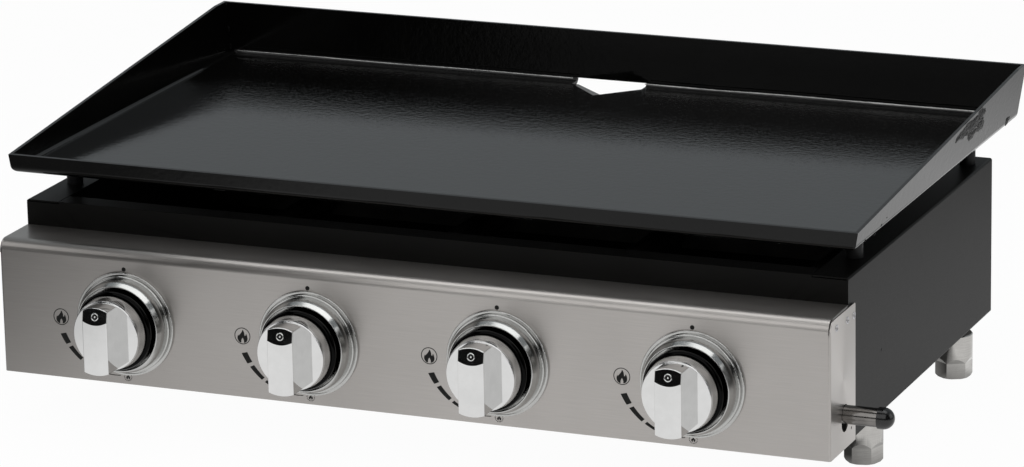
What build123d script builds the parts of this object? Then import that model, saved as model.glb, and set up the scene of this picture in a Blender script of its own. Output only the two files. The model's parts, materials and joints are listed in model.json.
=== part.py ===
from build123d import *
import os
from math import atan2, cos, pi, radians, sin, sqrt, tan

# Plancha griddle with four burners, in millimetres.
# X runs to the right, Y to the back and Z up. While it is modelled, X is zero in the middle of the
# firebox, Y at the firebox's front face and Z on the ground. Each piece is moved sideways when it
# is written, so that the origin is the middle of the whole part's footprint, on the ground.

# Firebox sheets
body_width = 730.0
body_depth = 382.0
body_height = 137.5
body_sheet = 1.2
bend_radius = 2.0
rim_width = 30.0
rim_width_across = 20.0
rim_gap = 0.5
base_flange = 36.0
front_return = 15.0
rear_return = 14.0
pan_lip = 12.0
vent_length = 60.0
vent_width = 8.0
vent_column_pitch = 84.0
vent_row_pitch = 80.0
vent_columns = 8
vent_rows = 4
side_mark_back = 82.0
side_mark_height = 54.4

# Feet
foot_lift = 44.0
foot_inset = 17.0
foot_front = 88.5
foot_rear_inset = 51.5
foot_radius = 16.1
foot_length = 38.2
foot_flat = 14.0
foot_flat_height = 13.8
foot_runout = 4.0
foot_chamfer = 1.6
foot_sides = 6
foot_turns = (-12.0, 12.0, -25.0, 25.0)
pad_radius = 11.0
pad_thickness = 3.0
pad_proud = 0.8
pad_side_gap = 0.3
pad_end_gap = 0.1
foot_stud_radius = 4.0
foot_stud_length = 34.4
foot_stud_head = 6.5
foot_stud_head_height = 4.0
foot_bore_depth = 31.0
lock_nut_flat = 6.5
lock_nut_height = 4.7

# Griddle tray and its locating studs
tray_gap = 24.3
tray_side_overhang = 8.4
tray_front = 8.5
tray_rear_overhang = 43.0
tray_steel = 3.0
tray_lip = 15.8
tray_wall = 49.6
tray_flare = 9.5
tray_shoulder = 20.0
tray_bend = 6.5
stud_inset = 15.0
stud_front = 60.0
stud_rear_inset = 23.0
stud_radius = 7.0
stud_pin_radius = 3.5
stud_pin_length = 8.5
stud_pin_gap = 0.7

# Drain pressed into the tray's floor at the back
drain_half_width = 33.0
drain_tip = 48.5
drain_slot_rise = 2.6
drain_lip_middle = 25.5
drain_lip_end = 15.2
drain_lip_angle = 22.0

# Grease cup, hung over the firebox's rear rim
cup_half_width = 52.0
cup_depth = 51.0
cup_height = 44.0
cup_drop = 9.5
cup_sheet = 1.0
cup_gap = 0.3
cup_corner = 6.0
hook_width = 20.0
hook_spacing = 60.0
hook_reach = 9.3
hook_tip = 6.0
hook_side_gap = 0.6

# Control panel
panel_depth = 48.0
panel_height = 115.5
panel_sheet = 1.2
panel_side_gap = 0.5
panel_overlap = 12.8
panel_bend = 9.0
panel_fold = 2.0
panel_return = 12.0
panel_rear_flange = 14.0
corner_relief = 0.6
corner_radius = 10.0
flange_drop = 1.0
tab_front = 10.0
tab_back = 3.0
tab_drop = 16.0
weld_depth_shares = (0.69, 0.14, -0.19)
weld_height_shares = (0.918, 0.909, 0.904)
weld_ball = 5.0
weld_depth = 0.35
drip_hole_back = 2.7
drip_hole_height = 12.8
drip_hole_radius = 1.2

# Controls, their pitch and the height of their axes above the firebox's underside
burner_count = 4
burner_side_inset = 113.75
knob_height = 52.8
stem_hole_radius = 9.0

# Bezel, with heights above the panel's face
bezel_radius = 44.5
bezel_rim = 2.4
bezel_rim_edge = 0.6
bezel_groove_radius = 43.0
bezel_groove = 1.6
bezel_step_radius = 42.0
bezel_step = 5.0
bezel_step_edge = 1.2
bezel_cone_radius = 39.8
bezel_shoulder = 11.0
bezel_shoulder_round = 10.0
bezel_lip_radius = 36.9
bezel_lip_edge = 0.5
bezel_height = 17.2
bezel_inner_radius = 35.7
bezel_floor = 1.2

# Knob, with heights above the panel's face
knob_clear = 5.2
knob_radius = 34.0
knob_shoulder = 24.5
knob_round = 2.6
knob_waist_radius = 31.2
knob_disc = 37.5
knob_disc_radius = 29.5
knob_disc_edge = 0.8
knob_wall = 1.8
grip_width = 22.4
grip_radius = 28.7
grip_height = 56.5
grip_edge = 0.7
facet_start = 14.5
facet_drop = 2.6
facet_radius = 110.0
mark_height = 21.5
mark_radius = 3.2
mark_line = 0.5
mark_dot = 0.8
mark_depth = 0.2
hub_radius = 7.5
hub_start = 9.0
knob_rib = 1.6
knob_rib_count = 4

# Valve, stem, plug and return spring
stem_radius = 3.0
stem_flat = 1.6
stem_fit = 0.05
stem_reach = 44.0
stem_end_gap = 2.0
stem_grip_length = 5.8
stem_collar_radius = 5.2
stem_collar = 1.5
stem_collar_gap = 0.1
valve_radius = 11.0
ear_half_width = 20.0
ear_half_height = 8.0
ear_thickness = 3.0
ear_screw_offset = 15.0
bush_length = 5.3
chamber_radius = 5.6
chamber_length = 13.3
plug_radius = 6.5
plug_length = 17.1
plug_fit = 0.05
plug_end_gap = 0.1
plug_socket = 11.5
valve_end_wall = 2.9
gas_way = 1.5
neck_radius = 4.8
neck_gap = 0.5
nipple_radius = 3.0
nipple_reach = 1.5
nipple_fit = 0.05
spring_radius = 4.5
spring_wire = 0.8
spring_turns = 5
spring_end_gap = 0.1

# Gas pipe inside the control panel, and the cap on its inlet
pipe_radius = 7.7
pipe_wall = 1.5
pipe_setback = 35.0
pipe_height = 29.0
pipe_left_reach = 30.0
pipe_hole_gap = 0.5
pipe_hole_drop = 6.4
inlet_reach = 41.2
cap_radius = 8.8
cap_skirt = 4.0
cap_fit = 0.05
cap_end_gap = 0.1

# Jets, burners and the rail that carries their closed ends
jet_flat = 4.6
jet_hex_length = 3.0
jet_radius = 3.4
jet_length = 8.0
jet_bore = 0.6
burner_radius = 12.7
burner_wall = 0.9
burner_mouth = 4.0
burner_rear_gap = 36.0
burner_hole_gap = 0.4
air_window_start = 16.0
air_window_length = 18.0
air_window_height = 12.0
port_radius = 1.1
port_pitch = 14.0
port_start = 75.0
port_end = 31.0
port_rise = 4.0
burner_pin_radius = 3.0
burner_pin_length = 9.5
burner_pin_fit = 0.05
rail_setback = 4.0
rail_sheet = 1.5
rail_height = 24.0
rail_foot = 12.0

# Spark igniters
igniter_width = 16.0
igniter_height = 14.0
igniter_front = 6.0
igniter_length = 26.0
igniter_edge = 2.0
electrode_offset = 22.0
electrode_radius = 3.2
electrode_front = 14.0
electrode_back = 26.0
electrode_hole_gap = 0.4
electrode_collar_radius = 5.0
electrode_collar = 1.5
electrode_wire = 0.8
electrode_wire_fit = 0.05
electrode_run = 13.0
electrode_bend_radius = 4.0
electrode_tip_back = 4.0
electrode_tip_side = 9.0
electrode_tip_drop = 7.0
lead_radius = 1.2
lead_bend = 9.0

# Fasteners
screw_radius = 2.0
screw_head_radius = 3.5
screw_head_height = 2.2
screw_fit = 0.05
screw_tail = 2.5
panel_screw_shares = (-0.85, -0.46, 0.0, 0.46, 0.85)
panel_screw_drop = 8.0
casing_screw_shares = (0.13, 0.5, 0.87)

# Small overrun for cuts
over = 1.0

# Places that several pieces share
side = body_width / 2
inner_side = side - body_sheet
tray_half_width = side + tray_side_overhang
tray_back = body_depth + tray_rear_overhang
base = foot_lift
rim = base + body_height
rim_inner = side - rim_width - rim_gap
rear_inner = body_depth - 2 * body_sheet
tray = rim + tray_gap
tray_floor = tray + tray_steel
panel_top = base + panel_height
flange_inner = side + panel_side_gap
flange_outer = flange_inner + panel_sheet
panel_end = flange_inner - corner_relief
axis_height = base + knob_height
pipe_y = pipe_setback - panel_depth
pipe_z = base + pipe_height
burner_pitch = 2 * (side - burner_side_inset) / (burner_count - 1)
controls = [(i - (burner_count - 1) / 2) * burner_pitch for i in range(burner_count)]
foot_names = ("front_left", "front_right", "rear_left", "rear_right")
foot_rows = (foot_front, body_depth - foot_rear_inset)
foot_places = [(hand * (side - foot_inset), y) for y in foot_rows for hand in (-1, 1)]
stud_rows = (stud_front, body_depth - stud_rear_inset)
stud_places = [(hand * (side - stud_inset), y) for y in stud_rows for hand in (-1, 1)]
screw_hole = screw_radius + screw_fit
panel_screw_height = panel_top - panel_screw_drop
casing_screw_side = side - rear_return / 2
casing_screw_heights = [base + share * body_height for share in casing_screw_shares]
burner_end = body_depth - burner_rear_gap
port_count = int((burner_end - port_end - port_start) / port_pitch) + 1
rail_y = burner_end + rail_setback
plug_start = panel_sheet + bush_length + chamber_length + plug_end_gap
valve_end = plug_start + plug_length + plug_end_gap + valve_end_wall
igniter_middle = valve_radius + igniter_height / 2
electrode_z = axis_height + igniter_middle
cap_end = flange_outer + inlet_reach
pipe_end = cap_end - cap_radius
cup_front = body_depth + cup_gap
cup_back = cup_front + cup_depth
cup_top = rim - cup_drop
hook_bottom = rim + cup_gap
hook_front = cup_front + cup_sheet - hook_reach
drain_front = tray_back - drain_tip
flare_slope = tan(radians(tray_flare))
left_end = max(tray_half_width + tray_wall * flare_slope, flange_outer)
middle_x = (max(cap_end, left_end) - left_end) / 2
middle_y = (max(cup_back, tray_back) - panel_depth - grip_height) / 2


# Shape helpers
def block(x0, x1, y0, y1, z0, z1):
    """Box between two corners."""
    return Pos((x0 + x1) / 2, (y0 + y1) / 2, (z0 + z1) / 2) * Box(x1 - x0, y1 - y0, z1 - z0)


def rod(start, direction, length, radius):
    """Round bar from a point along a direction."""
    up = (Align.CENTER, Align.CENTER, Align.MIN)
    return Plane(start, z_dir=direction).location * Cylinder(radius, length, align=up)


def rod_x(x0, x1, y, z, radius):
    return rod((x0, y, z), (1, 0, 0), x1 - x0, radius)


def rod_y(y0, y1, x, z, radius):
    return rod((x, y0, z), (0, 1, 0), y1 - y0, radius)


def rod_z(z0, z1, x, y, radius):
    return rod((x, y, z0), (0, 0, 1), z1 - z0, radius)


def outline(corners):
    """Closed face from corners (u, v), or (u, v, radius) where a corner is round."""
    points = [corner[:2] for corner in corners]
    radii = [corner[2] if len(corner) > 2 else 0 for corner in corners]
    if any(radii):
        return make_face(FilletPolyline(points, radius=radii, close=True))
    return make_face(Polyline(points, close=True))


def prism_x(corners, x0, x1):
    """Outline of (y, z) corners carried from x0 to x1."""
    plane = Plane((x0, 0, 0), x_dir=(0, 1, 0), z_dir=(1, 0, 0))
    return extrude(plane.location * outline(corners), amount=x1 - x0, dir=(1, 0, 0))


def prism_y(corners, y0, y1):
    """Outline of (x, z) corners carried from y0 to y1."""
    plane = Plane((0, y0, 0), x_dir=(1, 0, 0), z_dir=(0, -1, 0))
    return extrude(plane.location * outline(corners), amount=y1 - y0, dir=(0, 1, 0))


def prism_z(corners, z0, z1):
    """Outline of (x, y) corners carried from z0 to z1."""
    return extrude(Pos(0, 0, z0) * outline(corners), amount=z1 - z0, dir=(0, 0, 1))


def turned_front(corners):
    """Turned shape on the Y axis, from (radius, height in front of the origin) corners."""
    return revolve(outline([(corner[0], -corner[1], *corner[2:]) for corner in corners]), Axis.Y)


def turned_up(corners):
    """Turned shape on the Z axis, from (radius, height) corners."""
    return revolve(Plane.XZ.location * outline(corners), Axis.Z)


def hexagon(half_flat):
    """Six-sided face on the origin."""
    return RegularPolygon(half_flat / cos(pi / foot_sides), foot_sides)


def hexagon_z(z0, z1, x, y, half_flat):
    """Six-sided bar that stands upright."""
    return extrude(Pos(x, y, z0) * hexagon(half_flat), amount=z1 - z0, dir=(0, 0, 1))


def hexagon_y(y0, y1, half_flat):
    """Six-sided bar on the Y axis."""
    plane = Plane((0, y0, 0), z_dir=(0, 1, 0))
    return extrude(plane.location * hexagon(half_flat), amount=y1 - y0, dir=(0, 1, 0))


def d_bar(y0, y1, radius, flat):
    """Bar on the Y axis with one flat, which faces up."""
    return rod_y(y0, y1, 0, 0, radius) & block(-radius, radius, y0, y1, -radius, flat)


def pan_screw(x, z, head_y, tail_y):
    """Pan head screw along Y, with its head outside head_y and its tip at tail_y."""
    outward = 1 if tail_y < head_y else -1
    head = rod((x, head_y, z), (0, outward, 0), screw_head_height, screw_head_radius)
    crown = head.edges().filter_by(GeomType.CIRCLE).sort_by(Axis.Y)[-1 if outward > 0 else 0]
    head = fillet(crown, screw_head_height / 2)
    return head + rod((x, head_y, z), (0, -outward, 0), abs(tail_y - head_y), screw_radius)


def at_control(shape, x):
    """Shape modelled on the origin, moved to a control's axis on the panel's face."""
    return Pos(x, -panel_depth, axis_height) * shape


def save(node, *pieces):
    """Write one node, moved to the part's own origin."""
    solids = [solid for piece in pieces for solid in piece.solids()]
    moved = [Pos(-middle_x, -middle_y, 0) * solid for solid in solids]
    export_step(moved[0] if len(moved) == 1 else Compound(moved), f"parts/{node}.step")


# Firebox
def side_panel(hand):
    """Side wall with its rim above, its flange below and its return at the back."""
    inner_bend = bend_radius - body_sheet
    wall = prism_y(
        [
            (side - base_flange, base),
            (side, base, bend_radius),
            (side, rim, bend_radius),
            (side - rim_width, rim),
            (side - rim_width, rim - body_sheet),
            (inner_side, rim - body_sheet, inner_bend),
            (inner_side, base + body_sheet, inner_bend),
            (side - base_flange, base + body_sheet),
        ],
        0,
        body_depth,
    )
    wall += block(
        side - rear_return, side, body_depth - body_sheet, body_depth,
        base + bend_radius, rim - bend_radius,
    )
    for y in stud_rows:
        wall -= rod_z(rim - rim_width, rim + over, side - stud_inset, y, stud_pin_radius + stud_pin_gap)
    for y in foot_rows:
        wall -= rod_z(base - over, base + base_flange, side - foot_inset, y, foot_stud_radius + screw_fit)
    for z in casing_screw_heights:
        wall -= rod_y(rear_inner, body_depth + over, casing_screw_side, z, screw_hole)
    mark_x = side + weld_ball - weld_depth
    wall -= Pos(mark_x, side_mark_back, base + side_mark_height) * Sphere(weld_ball)
    return wall if hand > 0 else mirror(wall, Plane.YZ)


def front_panel():
    """Front wall between the side panels, with the burners' holes."""
    wall = block(-inner_side, inner_side, 0, body_sheet, base + bend_radius, rim - bend_radius)
    wall += block(-rim_inner, rim_inner, 0, body_sheet, base + bend_radius, rim)
    wall += block(-rim_inner, rim_inner, 0, rim_width_across, rim - body_sheet, rim)
    for hand in (-1, 1):
        ends = sorted((hand * inner_side, hand * (inner_side - body_sheet)))
        wall += block(*ends, 0, front_return, base + bend_radius, rim - bend_radius)
    for x in controls:
        wall -= rod_y(-over, front_return, x, axis_height, burner_radius + burner_hole_gap)
        hole = electrode_radius + electrode_hole_gap
        wall -= rod_y(-over, front_return, x + electrode_offset, electrode_z, hole)
    for share in panel_screw_shares:
        wall -= rod_y(-over, front_return, share * side, panel_screw_height, screw_hole)
    return wall


def rear_panel():
    """Rear wall inside the side panels' returns, with slots for the grease cup's hooks."""
    back = body_depth - body_sheet
    wall = block(-inner_side, inner_side, rear_inner, back, base + bend_radius, rim - bend_radius)
    wall += block(-rim_inner, rim_inner, rear_inner, back, base + bend_radius, rim)
    wall += block(-rim_inner, rim_inner, back - rim_width_across, back, rim - body_sheet, rim)
    for hand in (-1, 1):
        x = hand * hook_spacing / 2
        half = hook_width / 2 + hook_side_gap
        wall -= block(
            x - half, x + half, hook_front - hook_side_gap, hook_front + cup_sheet + hook_side_gap,
            rim - bend_radius, rim + over,
        )
        for z in casing_screw_heights:
            wall -= rod_y(rear_inner - over, body_depth, hand * casing_screw_side, z, screw_hole)
    return wall


def floor_pan():
    """Floor on the side panels' flanges, with rows of ventilation slots."""
    half = inner_side - body_sheet - rim_gap
    bottom = base + body_sheet
    pan = block(-half, half, body_sheet, rear_inner, bottom, bottom + body_sheet)
    for y in (body_sheet, rear_inner - body_sheet):
        pan += block(-half, half, y, y + body_sheet, bottom, bottom + pan_lip)
    for column in range(vent_columns):
        x = (column - (vent_columns - 1) / 2) * vent_column_pitch
        for row in range(vent_rows):
            y = body_depth / 2 + (row - (vent_rows - 1) / 2) * vent_row_pitch
            slot = Pos(x, y, base) * SlotOverall(vent_length, vent_width)
            pan -= extrude(slot, amount=pan_lip, dir=(0, 0, 1))
    for x, y in foot_places:
        pan -= rod_z(base, base + pan_lip, x, y, foot_stud_radius + screw_fit)
    return pan


def casing_screws():
    """Screws through the side panels' returns into the rear panel."""
    return [
        pan_screw(hand * casing_screw_side, z, body_depth, rear_inner - screw_tail)
        for hand in (-1, 1)
        for z in casing_screw_heights
    ]


# Feet
def foot(turn):
    """Round foot with six wrench flats at its lower end, threaded on its stud."""
    top = pad_proud + foot_length
    body = turned_up(
        [
            (0, pad_proud),
            (foot_radius - foot_chamfer, pad_proud),
            (foot_radius, pad_proud + foot_chamfer),
            (foot_radius, top - foot_chamfer / 2),
            (foot_radius - foot_chamfer / 2, top),
            (0, top),
        ]
    )
    reach = foot_radius + over
    rise = foot_runout * (reach - foot_flat) / (foot_radius - foot_flat)
    flat_top = pad_proud + foot_flat_height
    flat = prism_x(
        [(foot_flat, 0), (foot_flat, flat_top), (reach, flat_top + rise), (reach, 0)],
        -foot_radius,
        foot_radius,
    )
    for i in range(foot_sides):
        body -= Rot(0, 0, turn + i * 360 / foot_sides) * flat
    body -= rod_z(top - foot_bore_depth, top + over, 0, 0, foot_stud_radius + screw_fit)
    return body - rod_z(0, pad_thickness + pad_end_gap, 0, 0, pad_radius + pad_side_gap)


def foot_pad():
    """Rubber pad in the foot's recess, which the foot turns on."""
    pad = rod_z(0, pad_thickness, 0, 0, pad_radius)
    return fillet(pad.edges().filter_by(GeomType.CIRCLE).sort_by(Axis.Z)[0], pad_proud / 2)


def foot_stud(x, y):
    """Bolt through the firebox's floor and down into the foot."""
    seat = base + 2 * body_sheet
    head = hexagon_z(seat, seat + foot_stud_head_height, x, y, foot_stud_head)
    return head + rod_z(seat - foot_stud_length, seat, x, y, foot_stud_radius)


def foot_locknut(x, y):
    """Nut that locks the stud under the firebox."""
    nut = hexagon_z(base - lock_nut_height, base, x, y, lock_nut_flat)
    return nut - rod_z(base - lock_nut_height - over, base, x, y, foot_stud_radius + screw_fit)


# Griddle tray
def tray_form(sheet):
    """Solid that the tray's faces bound, its outside with no sheet or its inside with one."""
    slant = sheet / cos(radians(tray_flare)) - sheet * flare_slope
    low = tray_half_width - slant
    height = tray_wall - sheet + (over if sheet else 0)
    high = low + height * flare_slope
    bottom = tray + sheet
    form = prism_y(
        [(-low, bottom), (low, bottom), (high, bottom + height), (-high, bottom + height)],
        sheet - tray_front,
        tray_back - sheet,
    )
    return fillet(form.edges().group_by(Axis.Z)[0], tray_bend - sheet)


def drain_height(x, y):
    """Height of the pressed drain's upper face under a point of the floor."""
    past_fold = (y - drain_front - abs(x)) / sqrt(2)
    return tray_floor - past_fold * tan(radians(drain_lip_angle))


def drain_facet(hand):
    """One of the two slopes that lead the grease down to the drain's edge."""
    plan = (
        (0, drain_front),
        (hand * drain_half_width, drain_front + drain_half_width),
        (hand * drain_half_width, drain_front + drain_half_width + drain_lip_end),
        (0, drain_front + drain_lip_middle),
    )
    face = make_face(Polyline([(x, y, drain_height(x, y)) for x, y in plan], close=True))
    return extrude(face, amount=tray_steel, dir=(0, 0, -1))


def griddle_plate():
    """Welded steel tray with a low front lip, rising sides, a splash back and a drain."""
    plate = tray_form(0) - tray_form(tray_steel)
    lip_top = tray + tray_lip
    wall_top = tray + tray_wall
    plate -= prism_x(
        [
            (-tray_front - over, lip_top),
            (-tray_front, lip_top),
            (tray_back - tray_shoulder, wall_top),
            (tray_back - tray_shoulder, wall_top + over),
            (-tray_front - over, wall_top + over),
        ],
        -left_end - over,
        left_end + over,
    )
    plate -= prism_z(
        [
            (0, drain_front),
            (drain_half_width, drain_front + drain_half_width),
            (drain_half_width, tray_back + over),
            (-drain_half_width, tray_back + over),
            (-drain_half_width, drain_front + drain_half_width),
        ],
        tray - over,
        tray_floor + drain_slot_rise,
    )
    for hand in (-1, 1):
        plate += drain_facet(hand)
    return plate


def plate_stud(x, y):
    """Stud under the tray, with a pin that drops into the firebox's rim."""
    pin = rod_z(rim - stud_pin_length, tray, x, y, stud_pin_radius)
    pin = fillet(pin.edges().filter_by(GeomType.CIRCLE).sort_by(Axis.Z)[0], stud_pin_radius / 2)
    return pin + rod_z(rim, tray, x, y, stud_radius)


# Grease cup
def grease_cup():
    """Open cup behind the firebox, with two hooks over the rear rim."""
    bottom = cup_top - cup_height
    half = cup_half_width
    cup = prism_z(
        [
            (-half, cup_front, cup_corner),
            (half, cup_front, cup_corner),
            (half, cup_back, cup_corner),
            (-half, cup_back, cup_corner),
        ],
        bottom,
        cup_top,
    )
    inner = half - cup_sheet
    inner_corner = cup_corner - cup_sheet
    cup -= prism_z(
        [
            (-inner, cup_front + cup_sheet, inner_corner),
            (inner, cup_front + cup_sheet, inner_corner),
            (inner, cup_back - cup_sheet, inner_corner),
            (-inner, cup_back - cup_sheet, inner_corner),
        ],
        bottom + cup_sheet,
        cup_top + over,
    )
    plate_half = half - cup_corner
    cup += block(
        -plate_half, plate_half, cup_front, cup_front + cup_sheet, bottom, hook_bottom + cup_sheet
    )
    for hand in (-1, 1):
        left = hand * hook_spacing / 2 - hook_width / 2
        right = left + hook_width
        back = cup_front + cup_sheet
        cup += block(left, right, hook_front, back, hook_bottom, hook_bottom + cup_sheet)
        cup += block(
            left, right, hook_front, hook_front + cup_sheet, hook_bottom - hook_tip, hook_bottom
        )
    return cup


# Control panel
def panel_section():
    """Folded section of the panel: return, face, top and the flange against the firebox."""
    face = -panel_depth
    inner_bend = panel_bend - panel_sheet
    return [
        (face + panel_return, base),
        (face, base),
        (face, panel_top, panel_bend),
        (0, panel_top),
        (0, panel_top - panel_rear_flange),
        (-panel_sheet, panel_top - panel_rear_flange),
        (-panel_sheet, panel_top - panel_sheet),
        (face + panel_sheet, panel_top - panel_sheet, inner_bend),
        (face + panel_sheet, base + panel_sheet),
        (face + panel_return, base + panel_sheet),
    ]


def panel_side_flange(hand):
    """Side flange above the front fold, with its round corner, and the tab of the top inside it."""
    face = -panel_depth
    flange_top = panel_top - flange_drop
    step = flange_top - corner_radius - corner_relief
    flange = prism_x(
        [
            (face + panel_sheet, base),
            (panel_overlap, base),
            (panel_overlap, flange_top, bend_radius),
            (face, flange_top, corner_radius),
            (face, step),
            (face + panel_sheet, step),
        ],
        flange_inner,
        flange_outer,
    )
    tab_inner = flange_inner - panel_sheet
    tab = prism_y(
        [
            (tab_inner - panel_fold, panel_top),
            (flange_inner, panel_top, panel_fold),
            (flange_inner, panel_top - tab_drop),
            (tab_inner, panel_top - tab_drop),
            (tab_inner, panel_top - panel_sheet, panel_fold - panel_sheet),
            (tab_inner - panel_fold, panel_top - panel_sheet),
        ],
        face + tab_front,
        -tab_back,
    )
    for depth_share, height_share in zip(weld_depth_shares, weld_height_shares):
        place = (
            flange_outer + weld_ball - weld_depth,
            -depth_share * panel_depth,
            base + height_share * panel_height,
        )
        flange -= Pos(*place) * Sphere(weld_ball)
    flange += tab
    return flange if hand > 0 else mirror(flange, Plane.YZ)


def control_panel():
    """Folded stainless panel with its controls' holes and the gas inlet's slot."""
    face = -panel_depth
    panel = prism_x(panel_section(), -panel_end, panel_end)
    channel_top = panel_top - flange_drop - corner_radius - corner_relief
    fold_inner = panel_fold - panel_sheet
    panel += prism_z(
        [
            (-flange_outer, 0),
            (-flange_outer, face, panel_fold),
            (flange_outer, face, panel_fold),
            (flange_outer, 0),
            (flange_inner, 0),
            (flange_inner, face + panel_sheet, fold_inner),
            (-flange_inner, face + panel_sheet, fold_inner),
            (-flange_inner, 0),
        ],
        base,
        channel_top,
    )
    for hand in (-1, 1):
        panel += panel_side_flange(hand)
    hole = pipe_radius + pipe_hole_gap
    for z in (pipe_z, pipe_z - pipe_hole_drop):
        panel -= rod_x(panel_end - over, flange_outer + over, pipe_y, z, hole)
    panel -= block(
        panel_end - over, flange_outer + over, pipe_y - hole, pipe_y + hole, pipe_z - pipe_hole_drop, pipe_z
    )
    panel -= rod_x(
        panel_end - over, flange_outer + over, drip_hole_back, base + drip_hole_height, drip_hole_radius
    )
    for x in controls:
        panel -= rod_y(face - over, face + panel_return, x, axis_height, stem_hole_radius)
        for hand in (-1, 1):
            screw_x = x + hand * ear_screw_offset
            panel -= rod_y(face - over, face + panel_return, screw_x, axis_height, screw_hole)
    for share in panel_screw_shares:
        panel -= rod_y(-panel_return, over, share * side, panel_screw_height, screw_hole)
    return panel


def panel_screws():
    """Screws through the panel's rear flange into the firebox's front."""
    return [
        pan_screw(share * side, panel_screw_height, -panel_sheet, body_sheet + screw_tail)
        for share in panel_screw_shares
    ]


# Controls, modelled on the origin with Y zero at the panel's face
def knob_bezel():
    """Round collar that the knob turns in."""
    bezel = turned_front(
        [
            (stem_hole_radius, 0),
            (bezel_radius, 0),
            (bezel_radius, bezel_rim, bezel_rim_edge),
            (bezel_groove_radius, bezel_rim),
            (bezel_groove_radius, bezel_groove),
            (bezel_step_radius, bezel_groove),
            (bezel_step_radius, bezel_step, bezel_step_edge),
            (bezel_cone_radius, bezel_step),
            (bezel_cone_radius, bezel_shoulder, bezel_shoulder_round),
            (bezel_lip_radius, bezel_height, bezel_lip_edge),
            (bezel_inner_radius, bezel_height, bezel_lip_edge),
            (bezel_inner_radius, bezel_floor),
            (stem_hole_radius, bezel_floor),
        ]
    )
    for hand in (-1, 1):
        bezel -= rod_y(-bezel_step, over, hand * ear_screw_offset, 0, screw_hole)
    return bezel


def bezel_screw(hand):
    """Screw through the bezel and the panel into the valve's ear."""
    tail = panel_sheet + ear_thickness + screw_tail
    return pan_screw(hand * ear_screw_offset, 0, -bezel_floor, tail)


def knob_grip():
    """Straight grip across the knob, with a scooped facet at its pointing end."""
    back = knob_wall - knob_disc
    grip = block(-grip_width / 2, grip_width / 2, -grip_height, back, -grip_radius, grip_radius)
    grip &= rod_y(-grip_height, back, 0, 0, grip_radius)
    slope = atan2(facet_drop, grip_radius - facet_start)
    normal = Vector(0, -cos(slope), sin(slope))
    along = Vector(0, sin(slope), cos(slope))
    edge = Vector(0, -grip_height, facet_start)
    start = edge + normal * facet_radius - along * grip_radius
    grip -= rod(start, along, 3 * grip_radius, facet_radius)
    fronts = grip.edges().filter_by(lambda line: line.center().Y < -knob_disc - facet_drop)
    grip = fillet(fronts, grip_edge)
    mark = edge + along * ((mark_height - facet_start) / cos(slope)) - normal * mark_depth
    height = mark_depth + over
    ring = rod(mark, normal, height, mark_radius) - rod(mark, normal, height, mark_radius - mark_line)
    return grip - ring - rod(mark, normal, height, mark_dot)


def control_knob():
    """Hollow knob with a skirt, a tapered side, a hub on the stem and a straight grip."""
    disc_inner = knob_disc - knob_wall
    knob = turned_front(
        [
            (0, hub_start),
            (hub_radius, hub_start),
            (hub_radius, disc_inner),
            (knob_disc_radius - knob_wall, disc_inner),
            (knob_waist_radius - knob_wall, knob_shoulder - knob_wall),
            (knob_radius - knob_wall, knob_shoulder - knob_wall, knob_round - knob_wall),
            (knob_radius - knob_wall, knob_clear),
            (knob_radius, knob_clear),
            (knob_radius, knob_shoulder, knob_round),
            (knob_waist_radius, knob_shoulder),
            (knob_disc_radius, knob_disc, knob_disc_edge),
            (0, knob_disc),
        ]
    )
    knob += knob_grip()
    grip_inner = grip_width / 2 - knob_wall
    grip_end = grip_radius - 2 * knob_wall
    hollow = block(
        -grip_inner, grip_inner, 2 * knob_wall - grip_height, -disc_inner, -grip_end, grip_end
    )
    knob -= hollow - rod_y(-grip_height, 0, 0, 0, hub_radius)
    for i in range(knob_rib_count):
        rib = block(-knob_rib / 2, knob_rib / 2, -disc_inner, -hub_start, 0, knob_disc_radius - knob_rib / 2)
        knob += Rot(0, i * 360 / knob_rib_count, 0) * rib
    bore_end = stem_reach + stem_end_gap
    return knob - d_bar(-bore_end, over - hub_start, stem_radius + stem_fit, stem_flat + stem_fit)


def valve_stem():
    """Flatted stem from the knob through the bush into the plug."""
    collar_start = panel_sheet + bush_length + stem_collar_gap
    collar_end = collar_start + stem_collar
    stem = d_bar(-stem_reach, -bezel_floor, stem_radius, stem_flat)
    stem += rod_y(-bezel_floor, collar_end, 0, 0, stem_radius)
    stem += rod_y(collar_start, collar_end, 0, 0, stem_collar_radius)
    return stem + d_bar(collar_end, plug_start + stem_grip_length, stem_radius, stem_flat)


def stem_spring():
    """Spring that holds the stem out, wound between its collar and the plug."""
    first = panel_sheet + bush_length + stem_collar_gap + stem_collar
    margin = spring_wire / 2 + spring_end_gap
    height = plug_start - first - 2 * margin
    path = Helix(
        height / spring_turns, height, spring_radius, center=(0, first + margin, 0), direction=(0, 1, 0)
    )
    section = Plane(path @ 0, z_dir=path % 0).location * Circle(spring_wire / 2)
    return sweep(section, path=path, is_frenet=True)


def valve_plug():
    """Plug with a flatted socket for the stem and a port from the inlet to the jet."""
    end = plug_start + plug_length
    plug = rod_y(plug_start, end, 0, 0, plug_radius)
    socket_end = plug_start + plug_socket
    plug -= d_bar(plug_start - over, socket_end, stem_radius + stem_fit, stem_flat + stem_fit)
    plug -= rod_z(-plug_radius - over, 0, 0, pipe_setback, gas_way)
    return plug - rod_y(pipe_setback, end + over, 0, 0, gas_way)


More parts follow.
